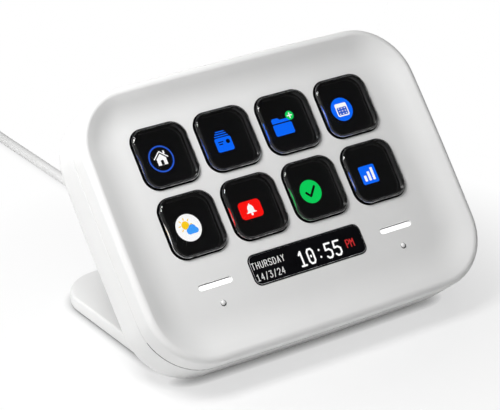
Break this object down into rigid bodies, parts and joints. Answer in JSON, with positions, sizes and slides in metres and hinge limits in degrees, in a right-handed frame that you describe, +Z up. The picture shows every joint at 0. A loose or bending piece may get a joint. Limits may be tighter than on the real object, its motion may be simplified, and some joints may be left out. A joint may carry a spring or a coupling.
{
  "type": "desk macro keypad",
  "caption": "Desk keypad with a leaning dished face on a flat foot, clear sprung keys over one display, a narrow information bar, slim light bars and a lead with a coil and plug.",
  "frame": {"origin": "on the table, straight below the centre of the key grid", "axes": "+X right as seen by the person in front, +Y to the back, +Z up"},
  "size_m": [0.1121, 0.2325, 0.0707],
  "materials": {
    "shell_white": "fine satin moulding",
    "foot_rubber": "matt non-slip pad",
    "plain_steel": "plain rolled sheet",
    "screw_steel": "plated screw",
    "clear_cap": "polished clear cap",
    "silicone": "black silicone",
    "black_plastic": "matt black moulding",
    "amber_film": "polyimide film",
    "display_black": "dark display glass",
    "diffuser_white": "diffuser sheet",
    "smoked_lens": "polished smoked lens",
    "black_foam": "soft foam",
    "light_white": "lit diffuser",
    "copper_foil": "etched foil",
    "board_green": "solder-masked board",
    "led_yellow": "small lamp",
    "header_ivory": "moulded header",
    "lead_white": "satin soft jacket",
    "tie_white": "flat strap",
    "plug_metal": "plated sheet"
  },
  "bodies": {
    "housing": {"front_shell": "shell_white", "rear_shell": "shell_white", "foot_pad": "foot_rubber", "ballast_plate": "plain_steel", "case_screws": "screw_steel", "key_spring_1": "silicone", "key_spring_2": "silicone", "key_spring_3": "silicone", "key_spring_4": "silicone", "key_spring_5": "silicone", "key_spring_6": "silicone", "key_spring_7": "silicone", "key_spring_8": "silicone", "key_frame": "black_plastic", "contact_film": "black_plastic", "lcd_panel": "display_black", "backlight": "diffuser_white", "chassis_plate": "plain_steel", "chassis_screws": "screw_steel", "lcd_flex": "amber_film", "info_lens": "smoked_lens", "info_display": "display_black", "info_cushion": "black_foam", "info_flex": "amber_film", "light_pipe_left": "light_white", "light_pipe_right": "light_white", "touch_pad_left": "copper_foil", "touch_pad_right": "copper_foil", "led_boards": "board_green", "status_leds": "led_yellow", "main_board": "board_green", "board_components": "black_plastic", "board_screws": "screw_steel", "lead_header": "header_ivory", "strain_relief": "lead_white", "usb_cable_run": "lead_white", "usb_cable_coil": "lead_white", "coil_ties": "tie_white", "usb_plug_grip": "lead_white", "usb_plug_shell": "plug_metal"},
    "key_1": {"key_cap_1": "clear_cap"},
    "key_2": {"key_cap_2": "clear_cap"},
    "key_3": {"key_cap_3": "clear_cap"},
    "key_4": {"key_cap_4": "clear_cap"},
    "key_5": {"key_cap_5": "clear_cap"},
    "key_6": {"key_cap_6": "clear_cap"},
    "key_7": {"key_cap_7": "clear_cap"},
    "key_8": {"key_cap_8": "clear_cap"}
  },
  "joints": [
    {"name": "key_1_press", "type": "slide", "parent": "housing", "child": "key_1", "axis": [0, 0.766, -0.6428], "range_m": [0, 0.0012], "stiffness_N_per_m": 300, "springref_m": -0.001, "deforming": ["key_spring_1"]},
    {"name": "key_2_press", "type": "slide", "parent": "housing", "child": "key_2", "axis": [0, 0.766, -0.6428], "range_m": [0, 0.0012], "stiffness_N_per_m": 300, "springref_m": -0.001, "deforming": ["key_spring_2"]},
    {"name": "key_3_press", "type": "slide", "parent": "housing", "child": "key_3", "axis": [0, 0.766, -0.6428], "range_m": [0, 0.0012], "stiffness_N_per_m": 300, "springref_m": -0.001, "deforming": ["key_spring_3"]},
    {"name": "key_4_press", "type": "slide", "parent": "housing", "child": "key_4", "axis": [0, 0.766, -0.6428], "range_m": [0, 0.0012], "stiffness_N_per_m": 300, "springref_m": -0.001, "deforming": ["key_spring_4"]},
    {"name": "key_5_press", "type": "slide", "parent": "housing", "child": "key_5", "axis": [0, 0.766, -0.6428], "range_m": [0, 0.0012], "stiffness_N_per_m": 300, "springref_m": -0.001, "deforming": ["key_spring_5"]},
    {"name": "key_6_press", "type": "slide", "parent": "housing", "child": "key_6", "axis": [0, 0.766, -0.6428], "range_m": [0, 0.0012], "stiffness_N_per_m": 300, "springref_m": -0.001, "deforming": ["key_spring_6"]},
    {"name": "key_7_press", "type": "slide", "parent": "housing", "child": "key_7", "axis": [0, 0.766, -0.6428], "range_m": [0, 0.0012], "stiffness_N_per_m": 300, "springref_m": -0.001, "deforming": ["key_spring_7"]},
    {"name": "key_8_press", "type": "slide", "parent": "housing", "child": "key_8", "axis": [0, 0.766, -0.6428], "range_m": [0, 0.0012], "stiffness_N_per_m": 300, "springref_m": -0.001, "deforming": ["key_spring_8"]}
  ]
}
